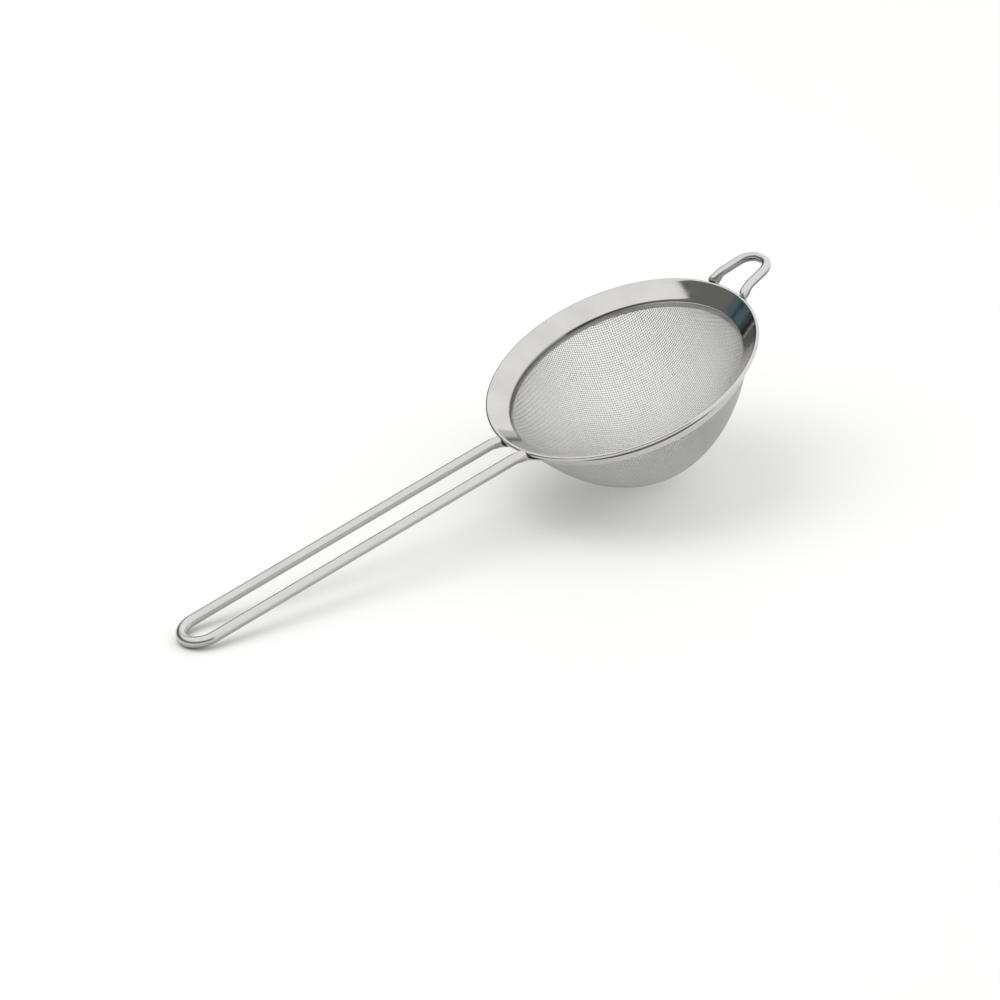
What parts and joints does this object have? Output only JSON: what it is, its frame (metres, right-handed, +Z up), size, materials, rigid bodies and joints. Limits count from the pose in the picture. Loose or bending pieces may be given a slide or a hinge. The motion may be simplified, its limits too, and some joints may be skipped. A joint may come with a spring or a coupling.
{
  "type": "tea strainer",
  "caption": "Round wire-cloth tea strainer with a flared sheet rim, a long looped wire handle and a short wire rest for a cup's edge.",
  "frame": {"origin": "on the table, under the middle of the whole strainer as it lies on its bowl and its handle's end", "axes": "+Z up from the table, +X along the strainer from the handle's loop towards the rest for the cup's edge"},
  "size_m": [0.208, 0.0848, 0.0576],
  "materials": {
    "rim_steel": "polished",
    "clamp_steel": "satin",
    "cloth_steel": "woven wire, satin",
    "wire_steel": "polished wire",
    "weld_steel": "dull, heat tinted"
  },
  "bodies": {
    "root": {"rim_band": "rim_steel", "clamp_ring": "clamp_steel", "mesh_basket": "cloth_steel", "handle_wire": "wire_steel", "rest_hook_wire": "wire_steel", "handle_weld_left": "weld_steel", "handle_weld_right": "weld_steel", "hook_weld_left": "weld_steel", "hook_weld_right": "weld_steel"}
  },
  "joints": []
}
